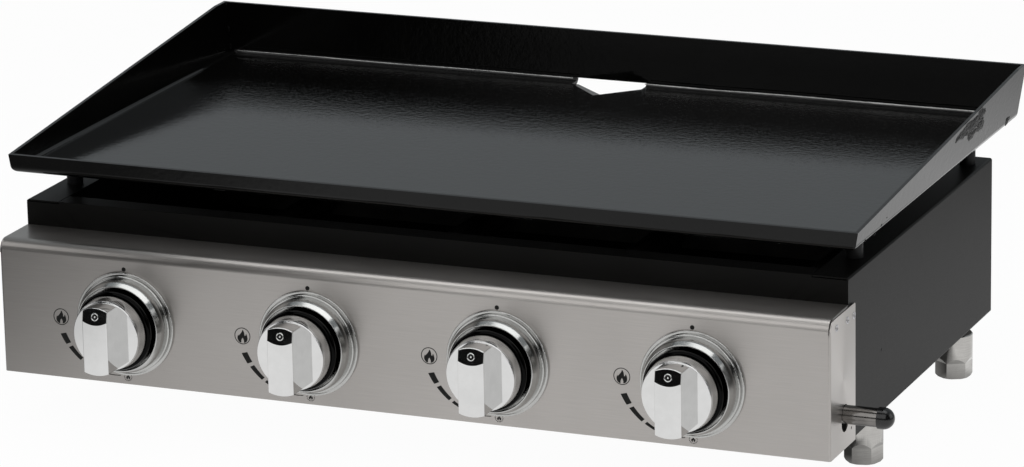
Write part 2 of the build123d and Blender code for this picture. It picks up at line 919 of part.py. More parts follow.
def valve_body():
    """Brass body with ears on the panel, a neck to the gas pipe and a seat for the igniter."""
    body = rod_y(panel_sheet, valve_end, 0, 0, valve_radius)
    body += block(
        -ear_half_width, ear_half_width, panel_sheet, panel_sheet + ear_thickness,
        -ear_half_height, ear_half_height,
    )
    seat = igniter_width / 2 - igniter_edge
    body += block(-seat, seat, igniter_front, igniter_front + igniter_length, 0, valve_radius)
    pipe_crown = pipe_height - knob_height + pipe_radius
    nipple_end = pipe_crown - pipe_wall - nipple_reach
    body += rod_z(pipe_crown + neck_gap, 0, 0, pipe_setback, neck_radius)
    body += rod_z(nipple_end, 0, 0, pipe_setback, nipple_radius)
    chamber_start = panel_sheet + bush_length
    chamber_end = chamber_start + chamber_length
    body -= rod_y(panel_sheet - over, chamber_end, 0, 0, stem_radius + stem_fit)
    body -= rod_y(chamber_start, chamber_end, 0, 0, chamber_radius)
    body -= rod_y(chamber_end, valve_end - valve_end_wall, 0, 0, plug_radius + plug_fit)
    body -= rod_y(chamber_end, valve_end + over, 0, 0, gas_way)
    body -= rod_z(nipple_end - over, 0, 0, pipe_setback, gas_way)
    for hand in (-1, 1):
        body -= rod_y(0, ear_thickness + over + panel_sheet, hand * ear_screw_offset, 0, screw_hole)
    return body


def burner_jet():
    """Brass jet on the back of the valve, pointing into the burner's mouth."""
    jet = hexagon_y(valve_end, valve_end + jet_hex_length, jet_flat)
    jet += rod_y(valve_end, valve_end + jet_length, 0, 0, jet_radius)
    return jet - rod_y(valve_end - over, valve_end + jet_length + over, 0, 0, jet_bore)


def spark_igniter():
    """Housing of the spark igniter on top of the valve."""
    half = igniter_width / 2
    housing = block(
        -half, half, igniter_front, igniter_front + igniter_length,
        valve_radius, valve_radius + igniter_height,
    )
    return fillet(housing.edges().filter_by(Axis.Y), igniter_edge)


def ignition_lead():
    """Short lead from the igniter's side round to the electrode."""
    start_y = igniter_front + igniter_length / 2
    path = FilletPolyline(
        [
            (igniter_width / 2, start_y, igniter_middle),
            (electrode_offset, start_y, igniter_middle),
            (electrode_offset, panel_depth - electrode_front, igniter_middle),
        ],
        radius=lead_bend,
    )
    return sweep(Plane(path @ 0, z_dir=path % 0).location * Circle(lead_radius), path=path)


# Gas pipe
def manifold_pipe():
    """Gas pipe behind the controls, closed at the left and open at the inlet."""
    left = controls[0] - pipe_left_reach
    pipe = rod_x(left, pipe_end, pipe_y, pipe_z, pipe_radius)
    pipe -= rod_x(left + pipe_wall, pipe_end + over, pipe_y, pipe_z, pipe_radius - pipe_wall)
    for x in controls:
        pipe -= rod_z(pipe_z, pipe_z + pipe_radius + over, x, pipe_y, nipple_radius + nipple_fit)
    return pipe


def inlet_cap():
    """Round-ended cap pulled over the pipe's inlet."""
    skirt = pipe_end - cap_skirt
    cap = rod_x(skirt, pipe_end, pipe_y, pipe_z, cap_radius)
    cap += Pos(pipe_end, pipe_y, pipe_z) * Sphere(cap_radius)
    cap -= block(
        skirt - 2 * cap_radius, skirt, pipe_y - cap_radius, pipe_y + cap_radius,
        pipe_z - cap_radius, pipe_z + cap_radius,
    )
    return cap - rod_x(skirt - over, pipe_end + cap_end_gap, pipe_y, pipe_z, pipe_radius + cap_fit)


# Burners
def burner(x):
    """Tube burner with an open mouth, air windows and two rows of ports."""
    start = -burner_mouth
    bore_end = burner_end - burner_wall
    tube = rod_y(start, burner_end, x, axis_height, burner_radius)
    tube -= rod_y(start - over, bore_end, x, axis_height, burner_radius - burner_wall)
    half = air_window_height / 2
    reach = burner_radius + over
    tube -= block(
        x - reach, x + reach, air_window_start, air_window_start + air_window_length,
        axis_height - half, axis_height + half,
    )
    for i in range(port_count):
        y = port_start + i * port_pitch
        tube -= rod_x(x - reach, x + reach, y, axis_height + port_rise, port_radius)
    return tube + rod_y(burner_end, burner_end + burner_pin_length, x, axis_height, burner_pin_radius)


def burner_rail():
    """Rail between the side panels with a hole for each burner's pin."""
    low = axis_height - rail_height / 2
    high = low + rail_height
    rail = block(-inner_side, inner_side, rail_y, rail_y + rail_sheet, low, high)
    for hand in (-1, 1):
        ends = sorted((hand * inner_side, hand * (inner_side - rail_sheet)))
        rail += block(*ends, rail_y, rail_y + rail_foot, low, high)
    for x in controls:
        rail -= rod_y(rail_y - over, rail_y + rail_foot, x, axis_height, burner_pin_radius + burner_pin_fit)
    return rail


def electrode_insulator(x):
    """Ceramic sleeve through the firebox's front, with a collar against it."""
    centre = x + electrode_offset
    sleeve = rod_y(-electrode_front, electrode_back, centre, electrode_z, electrode_radius)
    sleeve += rod_y(-electrode_collar, 0, centre, electrode_z, electrode_collar_radius)
    bore = electrode_wire + electrode_wire_fit
    return sleeve - rod_y(-electrode_front - over, electrode_back + over, centre, electrode_z, bore)


def electrode_pin(x):
    """Spark wire through the sleeve, bent down towards the burner."""
    centre = x + electrode_offset
    bend = electrode_back + electrode_run
    path = FilletPolyline(
        [
            (centre, -electrode_front, electrode_z),
            (centre, bend, electrode_z),
            (centre - electrode_tip_side, bend + electrode_tip_back, electrode_z - electrode_tip_drop),
        ],
        radius=electrode_bend_radius,
    )
    return sweep(Plane(path @ 0, z_dir=path % 0).location * Circle(electrode_wire), path=path)


# Every node of the part
os.makedirs("parts", exist_ok=True)

save("left_side_panel", side_panel(-1))
save("right_side_panel", side_panel(1))
save("front_panel", front_panel())
save("rear_panel", rear_panel())
save("floor_pan", floor_pan())
save("casing_screws", *casing_screws())

for name, (x, y), turn in zip(foot_names, foot_places, foot_turns):
    save(f"{name}_foot", Pos(x, y, 0) * foot(turn))
    save(f"{name}_foot_pad", Pos(x, y, 0) * foot_pad())
save("foot_studs", *[foot_stud(x, y) for x, y in foot_places])
save("foot_locknuts", *[foot_locknut(x, y) for x, y in foot_places])

save("griddle_plate", griddle_plate())
save("plate_studs", *[plate_stud(x, y) for x, y in stud_places])
save("grease_cup", grease_cup())

save("control_panel", control_panel())
save("panel_screws", *panel_screws())
save("bezel_screws", *[at_control(bezel_screw(hand), x) for x in controls for hand in (-1, 1)])

bezel = knob_bezel()
knob = control_knob()
stem = valve_stem()
spring = stem_spring()
plug = valve_plug()
body = valve_body()
for i, x in enumerate(controls, 1):
    save(f"knob_bezel_{i}", at_control(bezel, x))
    save(f"control_knob_{i}", at_control(knob, x))
    save(f"valve_stem_{i}", at_control(stem, x))
    save(f"stem_spring_{i}", at_control(spring, x))
    save(f"valve_plug_{i}", at_control(plug, x))
    save(f"valve_body_{i}", at_control(body, x))
    save(f"burner_{i}", burner(x))
save("burner_rail", burner_rail())
save("burner_jets", *[at_control(burner_jet(), x) for x in controls])
save("spark_igniters", *[at_control(spark_igniter(), x) for x in controls])
save("ignition_leads", *[at_control(ignition_lead(), x) for x in controls])
save("electrode_insulators", *[electrode_insulator(x) for x in controls])
save("electrode_pins", *[electrode_pin(x) for x in controls])

save("manifold_pipe", manifold_pipe())
save("inlet_cap", inlet_cap())
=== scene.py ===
import json
from math import atan2, cos, pi, radians, sin, tan

import bmesh
import bpy
from mathutils import Matrix, Vector


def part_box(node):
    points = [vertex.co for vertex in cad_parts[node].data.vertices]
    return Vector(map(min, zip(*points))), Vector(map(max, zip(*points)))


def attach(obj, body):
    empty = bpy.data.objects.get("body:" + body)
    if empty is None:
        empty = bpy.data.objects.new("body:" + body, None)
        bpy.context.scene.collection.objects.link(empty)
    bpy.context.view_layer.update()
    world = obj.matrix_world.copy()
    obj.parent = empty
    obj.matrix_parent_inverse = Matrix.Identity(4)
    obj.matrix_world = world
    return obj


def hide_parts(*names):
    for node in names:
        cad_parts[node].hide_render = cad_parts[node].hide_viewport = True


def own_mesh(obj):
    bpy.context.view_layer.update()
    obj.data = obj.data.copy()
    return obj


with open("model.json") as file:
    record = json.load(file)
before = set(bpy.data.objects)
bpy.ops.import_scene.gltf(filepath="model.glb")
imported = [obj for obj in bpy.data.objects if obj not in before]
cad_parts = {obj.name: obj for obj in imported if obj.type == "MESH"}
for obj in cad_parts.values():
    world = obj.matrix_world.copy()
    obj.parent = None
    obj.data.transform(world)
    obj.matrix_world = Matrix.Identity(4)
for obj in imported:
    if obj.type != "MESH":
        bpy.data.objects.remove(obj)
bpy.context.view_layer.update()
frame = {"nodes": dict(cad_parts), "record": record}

# Plancha griddle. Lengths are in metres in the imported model's own frame, with X to the right, Y to
# the back and Z up. Each added piece takes its place from the solids that carry it.

# Camera, with its focal length in pixels of the photograph and its angles in degrees
photo_width = 1024
focal_pixels = 5008.2
sensor_width = 36.0
camera_yaw = 22.786
camera_pitch = 16.015
camera_roll = -1.139
camera_distance = 4.0553
camera_far = 60.0
aim_right = 0.0781
aim_height = 0.1919

# Floor, with brightness where one is white. Metal sees it white in a painted pool of light in front of the
# object, dimmer outside the pool, and dark in a painted shadow under the object. The middles and half widths
# are along
# X, Y and Z, and an edge is where the change starts and ends, in half widths.
floor_half_size = 30.0
floor_cells = 8
floor_shade = (0.86, 0.86, 0.86, 1)
floor_glow = (1, 1, 1, 1)
floor_glow_share = 0.97
floor_far_glow = (0.22, 0.22, 0.22, 1)
floor_light_pool_middle = (0.25, -1.0, 0)
floor_light_pool_half = (0.76, 2.0, 1)
floor_light_pool_edge = (0.86, 1.2)
floor_shadow = (0.05, 0.05, 0.05, 1)
floor_shadow_middle = (0, 0, 0)
floor_shadow_half = (0.34, 0.165, 1)
floor_shadow_edge = (0.9, 1.15)

# Room, which turns from its front to its back shade between two directions along Y
room_front = (0.006, 0.006, 0.006, 1)
room_back = (0.39, 0.415, 0.43, 1)
room_turn = (-0.25, 0.3)

# Lamps: place, point that they face, width, depth and brightness
lamps = {
    "overhead_softbox": ((0, -0.15, 1.5), (0, -0.1, 0), 2.2, 0.8, 1.7),
    "right_softbox": ((2.4, 0.5, 0.9), (0.2, 0.1, 0.1), 1.6, 1.4, 0.86),
    "left_softbox": ((-2.4, -1.2, 1.3), (0, 0, 0.1), 1.4, 1.4, 1.2),
    "front_softbox": ((0.25, -2.35, 1.7), (0, 0, 0.1), 3.6, 2.25, 1.25),
}

# Rounding of sheet edges and turned edges
weld_gap = 0.000002
soft_angle = 32.0
soft_segments = 3
plate_edge = 0.0009
sheet_edge = 0.0003
foot_edge = 0.0003

# Grain of the finishes: detail and usual range of the noise, range of two noises added, fine streaks
# in a patch where a finish names none, and stretches along X, Y and Z
grain_detail = 3.0
noise_range = (0.32, 0.68)
noise_sum_range = (0.7, 1.3)
streaks_in_patch = 6
even = (1, 1, 1)
along_x = (60, 1, 1)
along_y = (1, 60, 1)
round_z = (30, 30, 1)

# Coarser enamel on the tray's floor, which grows along Y, ends before the back wall and ends before
# the side walls
coarse_size = 0.0034
coarse_height = 0.0004
coarse_start = (0.02, 0.16)
coarse_end = (0.245, 0.255)
coarse_side = (0.352, 0.368)

# Painted shade on the panel's sheet, which darkens from its middle towards each end along X to a share of
# its colour
panel_middle = 0.06
panel_end = 0.4
panel_left_share = 0.78
panel_right_share = 0.93

# Painted shade on the knobs' skirt in the deep gap by the bezel, less than this distance in front of the
# panel's face
skirt_depth = 0.0272
skirt_edge = 0.0006
# Near black that painted shade carries a colour towards
painted_shade_tone = (0.006, 0.006, 0.006, 1)

# Marks printed round each control, placed from the control's axis. The sweep is four bands, each from
# one angle and width to another, and its radius shrinks from first to last.
round_steps = 40
mark_thickness = 0.00006
mark_overlap = 0.00003
off_dot_radius = 0.0019
off_dot_rise = 0.0468
off_dot_steps = 20
high_ring_reach = 0.0604
high_ring_radius = 0.0072
high_ring_line = 0.0007
high_flame_height = 0.0118
sweep_angles = ((-166.5, -157.5), (-154.5, -140.5), (-137.5, -127.5), (-122.5, -98.5))
sweep_widths = ((0.0054, 0.0048), (0.0042, 0.0034), (0.0028, 0.0022), (0.0009, 0.0006))
sweep_radii = (0.0607, 0.0463)
sweep_steps = 10
low_ring_drop = 0.0464
low_ring_radius = 0.0034
low_ring_dots = 16
low_ring_dot_radius = 0.00044
low_ring_dot_steps = 8
low_flame_height = 0.0046

# Flame of the printed marks: corners as shares of its height, and how they are cut round
flame_outline_shares = (
    (0.02, 0.5), (-0.03, 0.3), (-0.2, 0.1), (-0.3, -0.02), (-0.31, 0.1), (-0.39, -0.08), (-0.38, -0.3),
    (-0.24, -0.47), (-0.08, -0.5), (-0.11, -0.38), (-0.05, -0.2), (0.02, -0.12), (0.08, -0.26),
    (0.12, -0.4), (0.07, -0.5), (0.27, -0.45), (0.4, -0.26), (0.38, -0.02), (0.28, 0.22), (0.24, 0.02),
    (0.16, 0.02), (0.15, 0.26),
)
corner_cut_share = 0.25
corner_cuts = 2

# Ribbed band round the knob's tapered side, with heights above the panel's face. A rib's four points
# stand at the root or on the rib.
band_low = 0.0268
band_high = 0.0352
band_low_radius = 0.03090
band_high_radius = 0.02982
band_ribs = 132
band_rib = 0.00022
band_rib_points = (0, 1, 1, 0)
band_sunk = 0.0002

# Raised ring and dot on the pointing end of the grip, which slopes back from facet_start to the grip's
# end. The steps are those along the ring and round its tube.
facet_start = 0.0145
facet_end = 0.0287
facet_drop = 0.0026
pointer_height = 0.0215
pointer_radius = 0.0029
pointer_tube = 0.00042
pointer_raised_share = 0.35
pointer_steps = (36, 10)
pointer_dot = 0.0009
pointer_dot_flatness = 0.5
pointer_dot_detail = 2

# Tray: lean of its walls in degrees, its height at the back and its sheet
tray_flare = 9.5
tray_height = 0.0496
tray_sheet = 0.003
tray_slope = tan(radians(tray_flare))
tray_wall = tray_sheet / cos(radians(tray_flare))

# Uneven beads: steps of their mesh, how far the rim sinks, waves of the outline as size, count and
# share of the phase, and waves of the top as size and counts outwards and round
bead_rings = 7
bead_steps = 26
bead_sunk_share = 0.3
bead_outline_waves = ((0.16, 3, 1), (0.1, 7, 2.3))
bead_top_wave = 0.25
bead_top_waves = (9, 4, 5)

# Scar and drips on the tray's right wall: distances from its back and top edges, half length and half
# width
scar_spots = (
    (0.146, 0.0185, 0.032, 0.0085), (0.121, 0.0145, 0.015, 0.0065), (0.118, 0.0245, 0.013, 0.0075),
    (0.17, 0.0195, 0.017, 0.0055), (0.141, 0.0275, 0.016, 0.005), (0.182, 0.0205, 0.009, 0.0035),
)
scar_rise = 0.00045
drip_spots = (
    (0.37, 0.0442, 0.0026, 0.0014), (0.385, 0.0478, 0.0019, 0.0011), (0.409, 0.0466, 0.0015, 0.001),
    (0.358, 0.0412, 0.0013, 0.0009), (0.031, 0.0427, 0.0075, 0.0042),
)
drip_rise = 0.0003
scar_phase_step = 1.7

# Beads in the tray's back corners: share of the height and radius
corner_spots = (
    (0.95, 0.0012), (0.9, 0.0007), (0.53, 0.0014), (0.48, 0.0008), (0.22, 0.001), (0.17, 0.0007),
)
corner_rise = 0.0005
corner_inset_share = 0.6
corner_length_share = 1.5

# Short runs on the side walls by those corners: distance from the back wall, share of the height and
# half length
run_spots = ((0.02, 0.2, 0.0022), (0.027, 0.13, 0.0028), (0.034, 0.23, 0.0019), (0.015, 0.07, 0.0017))
run_half_width = 0.0006
run_rise = 0.0003

# Painted highlight along the bend at the foot of the tray's back wall: a pale bead that thickens towards the
# right.
# Its drift and its swell each follow two waves.
bend_highlight_rise = 0.0036
bend_highlight_radius = 0.0008
bend_highlight_margin = 0.006
bend_highlight_left_share = 0.4
bend_highlight_drift = 0.0003
bend_highlight_drift_waves = (23, 7)
bend_highlight_swell = (0.9, 0.25)
bend_highlight_swell_waves = (61, 17)
bend_highlight_pieces = 30
bend_highlight_sides = 10
drain_half_width = 0.0345

# Rims of the weld spots on the panel's side flanges: distance behind its face and share of its height.
# The steps are those along the rim and round its tube.
spot_places = ((0.01488, 0.918), (0.04128, 0.909), (0.05712, 0.904))
spot_radius = 0.0025
spot_tube = 0.00048
spot_steps = (24, 8)

# Sockets of a colour mix node
mix_factor = 0
mix_first = 6
mix_second = 7
mix_result = 2


# Shader helpers
def add(tree, kind, inputs=(), **settings):
    """New shader node with its settings and its inputs, which are values or other nodes' outputs."""
    node = tree.nodes.new("ShaderNode" + kind)
    for name, value in settings.items():
        setattr(node, name, value)
    for key, value in dict(inputs).items():
        if isinstance(value, bpy.types.NodeSocket):
            tree.links.new(value, node.inputs[key])
        else:
            node.inputs[key].default_value = value
    return node


def combine(tree, operation, first, second=0.0):
    """Number worked out from one or two others."""
    return add(tree, "Math", {0: first, 1: second}, operation=operation).outputs[0]


def vector_math(tree, operation, *vectors):
    """Outputs of a node that works on one or two vectors."""
    return add(tree, "VectorMath", dict(enumerate(vectors)), operation=operation).outputs


def along_axis(tree, vector, axis):
    """Part of a vector along one axis."""
    return add(tree, "SeparateXYZ", {0: vector}).outputs[axis]


def object_place(tree):
    """Place on the object, along its own axes."""
    return add(tree, "TexCoord").outputs["Object"]


def half_widths_off(tree, middle, half):
    """Place on the object as a distance from a middle, in half widths."""
    moved = vector_math(tree, "SUBTRACT", object_place(tree), middle)[0]
    return vector_math(tree, "DIVIDE", moved, half)[0]


def grain(tree, size, stretch):
    """Noise with features of about that size, drawn out along the axes by the stretch."""
    scale = [1 / (size * share) for share in stretch]
    mapped = add(tree, "Mapping", {"Vector": object_place(tree), "Scale": scale}).outputs["Vector"]
    return add(tree, "TexNoise", {"Vector": mapped, "Scale": 1.0, "Detail": grain_detail}).outputs["Fac"]


def spread(tree, value, low, high, start, end):
    """Value carried from its own range to another one."""
    inputs = {"Value": value, "From Min": start, "From Max": end, "To Min": low, "To Max": high}
    return add(tree, "MapRange", inputs).outputs["Result"]


def blend_colours(tree, factor, first, second):
    """Colour between two others."""
    inputs = {mix_factor: factor, mix_first: first, mix_second: second}
    return add(tree, "Mix", inputs, data_type="RGBA").outputs[mix_result]


def new_material(name):
    """New material with the nodes that Blender starts it with."""
    material = bpy.data.materials.new(name)
    material.use_nodes = True
    return material


def surface_nodes(material):
    """Node tree and surface shader of a material."""
    return material.node_tree, material.node_tree.nodes["Principled BSDF"]


def add_bumps(tree, surface, height, distance, strength=1.0):
    """Bumps over those that the surface already has."""
    bump = add(tree, "Bump", {"Height": height, "Distance": distance, "Strength": strength})
    for link in surface.inputs["Normal"].links:
        tree.links.new(link.from_socket, bump.inputs["Normal"])
    tree.links.new(bump.outputs["Normal"], surface.inputs["Normal"])


# Finishes, by name
finishes = {}


def finish(name, dark, light, rough, patch, bumps=(), fine=None, tangent=None, **fixed):
    """Finish whose colour drifts between two shades over patches, whose roughness varies and whose
    surface has bumps of (size, height, stretch)."""
    material = new_material(name)
    tree, surface = surface_nodes(material)
    for key, value in fixed.items():
        surface.inputs[key].default_value = value
    fine_size, fine_stretch = fine or (patch / streaks_in_patch, even)
    clouds = grain(tree, patch, even)
    streaks = grain(tree, fine_size, fine_stretch)
    shade = spread(tree, combine(tree, "ADD", clouds, streaks), 0, 1, *noise_sum_range)
    tree.links.new(blend_colours(tree, shade, (*dark, 1), (*light, 1)), surface.inputs["Base Color"])
    tree.links.new(spread(tree, streaks, *rough, *noise_range), surface.inputs["Roughness"])
    for size, height, stretch in bumps:
        add_bumps(tree, surface, grain(tree, size, stretch), height)
    if tangent:
        turned = add(tree, "Tangent", direction_type="RADIAL", axis=tangent)
        tree.links.new(turned.outputs[0], surface.inputs["Tangent"])
    finishes[name] = material


# Finishes of the record's slots
finish(
    "black_enamel", dark=(0.0012, 0.0012, 0.0011), light=(0.0026, 0.0026, 0.0024), rough=(0.06, 0.11),
    patch=0.05, fine=(0.0014, even), bumps=((0.006, 0.00008, even), (0.0026, 0.00005, even)), IOR=1.31,
)
finish(
    "firebox_paint", dark=(0.0028, 0.0027, 0.0024), light=(0.0046, 0.0044, 0.0039), rough=(0.4, 0.5),
    patch=0.06, fine=(0.0008, even), bumps=((0.0007, 0.00003, even), (0.006, 0.00004, even)), IOR=1.2,
)
finish(
    "stainless", dark=(0.405, 0.386, 0.369), light=(0.468, 0.447, 0.429), rough=(0.28, 0.35),
    patch=0.12, fine=(0.0005, along_x), bumps=((0.00025, 0.000004, along_x),), tangent="X",
    Metallic=1.0, Anisotropic=0.7,
)
finish(
    "chrome", dark=(0.61, 0.61, 0.605), light=(0.66, 0.66, 0.655), rough=(0.045, 0.08),
    patch=0.03, fine=(0.006, even), bumps=((0.009, 0.000004, even),), Metallic=1.0,
)
finish(
    "foot_metal", dark=(0.4, 0.39, 0.375), light=(0.5, 0.49, 0.47), rough=(0.07, 0.14),
    patch=0.012, fine=(0.0005, round_z), bumps=((0.0005, 0.000004, round_z),), Metallic=1.0,
)
finish(
    "pad_rubber", dark=(0.012, 0.012, 0.012), light=(0.024, 0.024, 0.024), rough=(0.7, 0.85),
    patch=0.01, bumps=((0.0006, 0.00003, even),),
)
finish(
    "zinc_steel", dark=(0.5, 0.5, 0.53), light=(0.64, 0.64, 0.66), rough=(0.2, 0.34),
    patch=0.006, bumps=((0.0008, 0.000008, even),), Metallic=1.0,
)
finish(
    "black_steel", dark=(0.014, 0.014, 0.015), light=(0.03, 0.03, 0.03), rough=(0.4, 0.55),
    patch=0.006, bumps=((0.0007, 0.00001, even),), Metallic=0.6,
)
finish(
    "burner_steel", dark=(0.05, 0.048, 0.045), light=(0.1, 0.096, 0.09), rough=(0.34, 0.5),
    patch=0.04, fine=(0.0006, along_y), bumps=((0.0004, 0.000008, along_y),), Metallic=1.0,
)
finish(
    "cup_metal", dark=(0.44, 0.43, 0.42), light=(0.55, 0.54, 0.53), rough=(0.26, 0.38),
    patch=0.05, fine=(0.0005, along_x), bumps=((0.0003, 0.000006, along_x),), tangent="X",
    Metallic=1.0, Anisotropic=0.4,
)
finish(
    "brass", dark=(0.5, 0.35, 0.14), light=(0.68, 0.5, 0.24), rough=(0.22, 0.36),
    patch=0.008, bumps=((0.0006, 0.000008, even),), Metallic=1.0,
)
finish(
    "ceramic", dark=(0.66, 0.64, 0.6), light=(0.8, 0.79, 0.75), rough=(0.5, 0.65),
    patch=0.004, bumps=((0.0004, 0.00001, even),),
)
finish(
    "black_plastic", dark=(0.012, 0.012, 0.012), light=(0.022, 0.022, 0.022), rough=(0.42, 0.55),
    patch=0.008, bumps=((0.0005, 0.000012, even),),
)
finish(
    "cap_plastic", dark=(0.004, 0.004, 0.004), light=(0.008, 0.008, 0.008), rough=(0.14, 0.24),
    patch=0.006, bumps=((0.002, 0.00001, even),),
)
finish(
    "lead_rubber", dark=(0.3, 0.03, 0.02), light=(0.46, 0.06, 0.04), rough=(0.5, 0.65),
    patch=0.006, bumps=((0.0008, 0.00001, even),),
)

# Finishes of the scene's own, for marks, welds, a painted highlight and three chromes, the pipe's one
# darkened as painted shade
finish(
    "printed_ink", dark=(0.006, 0.006, 0.006), light=(0.014, 0.014, 0.013), rough=(0.4, 0.6),
    patch=0.002, bumps=((0.0003, 0.000006, even),), IOR=1.25,
)
finish(
    "knob_chrome", dark=(0.64, 0.64, 0.635), light=(0.68, 0.68, 0.675), rough=(0.04, 0.07),
    patch=0.03, fine=(0.008, even), bumps=((0.012, 0.000004, even),), Metallic=1.0,
)
finish(
    "bezel_chrome", dark=(0.4, 0.4, 0.39), light=(0.48, 0.48, 0.47), rough=(0.11, 0.19),
    patch=0.02, fine=(0.0015, even), bumps=((0.003, 0.000008, even),), Metallic=1.0,
)
# Pipe's chrome darkened well below real chrome: painted shade for the darker surroundings it mirrors
finish(
    "shaded_pipe_chrome", dark=(0.12, 0.115, 0.11), light=(0.22, 0.21, 0.2), rough=(0.1, 0.2),
    patch=0.01, fine=(0.0008, along_x), bumps=((0.0008, 0.000006, along_x),), Metallic=1.0,
)
# Painted highlight: pale grey for the bead that stands in for the glint along the tray's back bend
finish(
    "painted_highlight_grey", dark=(0.34, 0.34, 0.335), light=(0.6, 0.6, 0.59), rough=(0.3, 0.5),
    patch=0.02, fine=(0.004, even), bumps=((0.002, 0.00003, even),),
)
finish(
    "weld_enamel", dark=(0.001, 0.001, 0.001), light=(0.004, 0.004, 0.0038), rough=(0.2, 0.45),
    patch=0.003, fine=(0.0015, even), bumps=((0.0036, 0.0022, even), (0.0011, 0.0003, even)), IOR=1.15,
)

# Finishes that take the place of the slot's, by the start of the solid's name
own_finishes = {"control_knob": "knob_chrome", "knob_bezel": "bezel_chrome", "manifold_pipe": "shaded_pipe_chrome"}


# Finishes that change over a piece, some with painted shade
def paint_shade(name, share):
    """Painted shade: carries a finish's colour towards black by a share from its nodes."""
    tree, surface = surface_nodes(finishes[name])
    base = surface.inputs["Base Color"]
    tree.links.new(blend_colours(tree, share, base.links[0].from_socket, painted_shade_tone), base)


def coarse_back():
    """Coarser orange peel in the enamel towards the back of the tray."""
    tree, surface = surface_nodes(finishes["black_enamel"])
    backwards = along_axis(tree, object_place(tree), "Y")
    sideways = combine(tree, "ABSOLUTE", along_axis(tree, object_place(tree), "X"))
    strength = spread(tree, backwards, 0, 1, *coarse_start)
    strength = combine(tree, "MULTIPLY", strength, spread(tree, sideways, 1, 0, *coarse_side))
    strength = combine(tree, "MULTIPLY", strength, spread(tree, backwards, 1, 0, *coarse_end))
    add_bumps(tree, surface, grain(tree, coarse_size, even), coarse_height, strength)


def shade_panel_ends():
    """Painted shade on the panel's sheet, a little darker towards its ends, and the more so at the left."""
    tree = finishes["stainless"].node_tree
    place = along_axis(tree, object_place(tree), "X")
    left = spread(tree, place, 1 - panel_left_share, 0, -panel_end, panel_middle)
    right = spread(tree, place, 0, 1 - panel_right_share, panel_middle, panel_end)
    paint_shade("stainless", combine(tree, "ADD", left, right))


def shade_knob_skirt():
    """Knob chrome that ends at the ribbed band, with painted shade on the skirt behind it, in the deep gap
    by the bezel.
    """
    tree = finishes["knob_chrome"].node_tree
    place = along_axis(tree, object_place(tree), "Y")
    edge = control_origin(1).y - skirt_depth
    paint_shade("knob_chrome", spread(tree, place, 0, 1, edge - skirt_edge, edge))


def node_finish(row):
    """Finish of a solid: the scene's own for knobs, bezels and pipe, and otherwise its slot's."""
    for start, name in own_finishes.items():
        if row["node"].startswith(start):
            return finishes[name]
    return finishes[row["material_slot"]]


# Mesh helpers
to_back = Vector((0, 1, 0))
to_top = Vector((0, 0, 1))


def new_object(name, data):
    """New object in the scene."""
    made = bpy.data.objects.new(name, data)
    bpy.context.scene.collection.objects.link(made)
    return made


def mesh_object(name, shape, material):
    """Object for a finished shape, with its material."""
    mesh = bpy.data.meshes.new(name)
    shape.to_mesh(mesh)
    shape.free()
    mesh.materials.append(material)
    return new_object(name, mesh)


def new_piece(name, shape, finish_name, body):
    """Piece for a finished shape with its faces outwards, on its body and finish."""
    bmesh.ops.recalc_face_normals(shape, faces=shape.faces)
    piece = mesh_object(name, shape, finishes[finish_name])
    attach(piece, body)
    return piece


def smooth(piece):
    """Shades a rounded piece smoothly."""
    for face in piece.data.polygons:
        face.use_smooth = True


def circle(middle, radius, steps=round_steps):
    """Points round a middle, in a plane."""
    turns = [2 * pi * i / steps for i in range(steps)]
    return [(middle[0] + radius * cos(turn), middle[1] + radius * sin(turn)) for turn in turns]


def bridge(shape, rings):
    """Quads between each ring of vertices and the next one."""
    for ring, following in zip(rings, rings[1:]):
        for i in range(len(ring)):
            j = (i + 1) % len(ring)
            shape.faces.new((ring[i], ring[j], following[j], following[i]))


def loft(shape, rings):
    """Body through rings of vertices, closed at both ends."""
    bridge(shape, rings)
    shape.faces.new(rings[0][::-1])
    shape.faces.new(rings[-1])


def rounded(outline):
    """Outline with its corners cut again and again until they look round."""
    for _ in range(corner_cuts):
        cut = []
        for (x0, z0), (x1, z1) in zip(outline, outline[1:] + outline[:1]):
            for share in (corner_cut_share, 1 - corner_cut_share):
                cut.append((x0 + (x1 - x0) * share, z0 + (z1 - z0) * share))
        outline = cut
    return outline


def torus(shape, middle, across, along, radius, tube, steps, sides):
    """Round ring lying in the plane of two directions."""
    normal = across.cross(along)
    rings = []
    for k in range(sides):
        turn = 2 * pi * k / sides
        rise = normal * tube * sin(turn)
        outline = circle((0, 0), radius + tube * cos(turn), steps)
        rings.append([shape.verts.new(middle + across * x + along * z + rise) for x, z in outline])
    bridge(shape, rings + rings[:1])


def bead(shape, middle, across, along, half_length, half_width, rise, phase):
    """Uneven bead on a surface, highest in its middle and sunk a little at its rim."""
    normal = across.cross(along)
    sunk = rise * bead_sunk_share
    outwards, round_first, round_second = bead_top_waves
    rings = []
    for k in range(1, bead_rings + 1):
        share = k / bead_rings
        ring = []
        for i in range(bead_steps):
            turn = 2 * pi * i / bead_steps
            ragged = sum(size * sin(count * turn + part * phase) for size, count, part in bead_outline_waves)
            reach = share * (1 + ragged * share)
            wave = sin(outwards * share + round_first * turn + phase) * cos(round_second * turn - phase)
            height = rise * (1 - share ** 2) * (1 - bead_top_wave + bead_top_wave * wave) - sunk * share
            on_surface = across * half_length * cos(turn) + along * half_width * sin(turn)
            ring.append(shape.verts.new(middle + on_surface * reach + normal * height))
        rings.append(ring)
    bridge(shape, rings)
    close_bead(shape, rings[0], middle + normal * rise)
    close_bead(shape, rings[-1], middle - normal * sunk * 2)


def close_bead(shape, ring, point):
    """Triangles from a ring of vertices to a point."""
    tip = shape.verts.new(point)
    for i in range(len(ring)):
        shape.faces.new((tip, ring[i], ring[(i + 1) % len(ring)]))


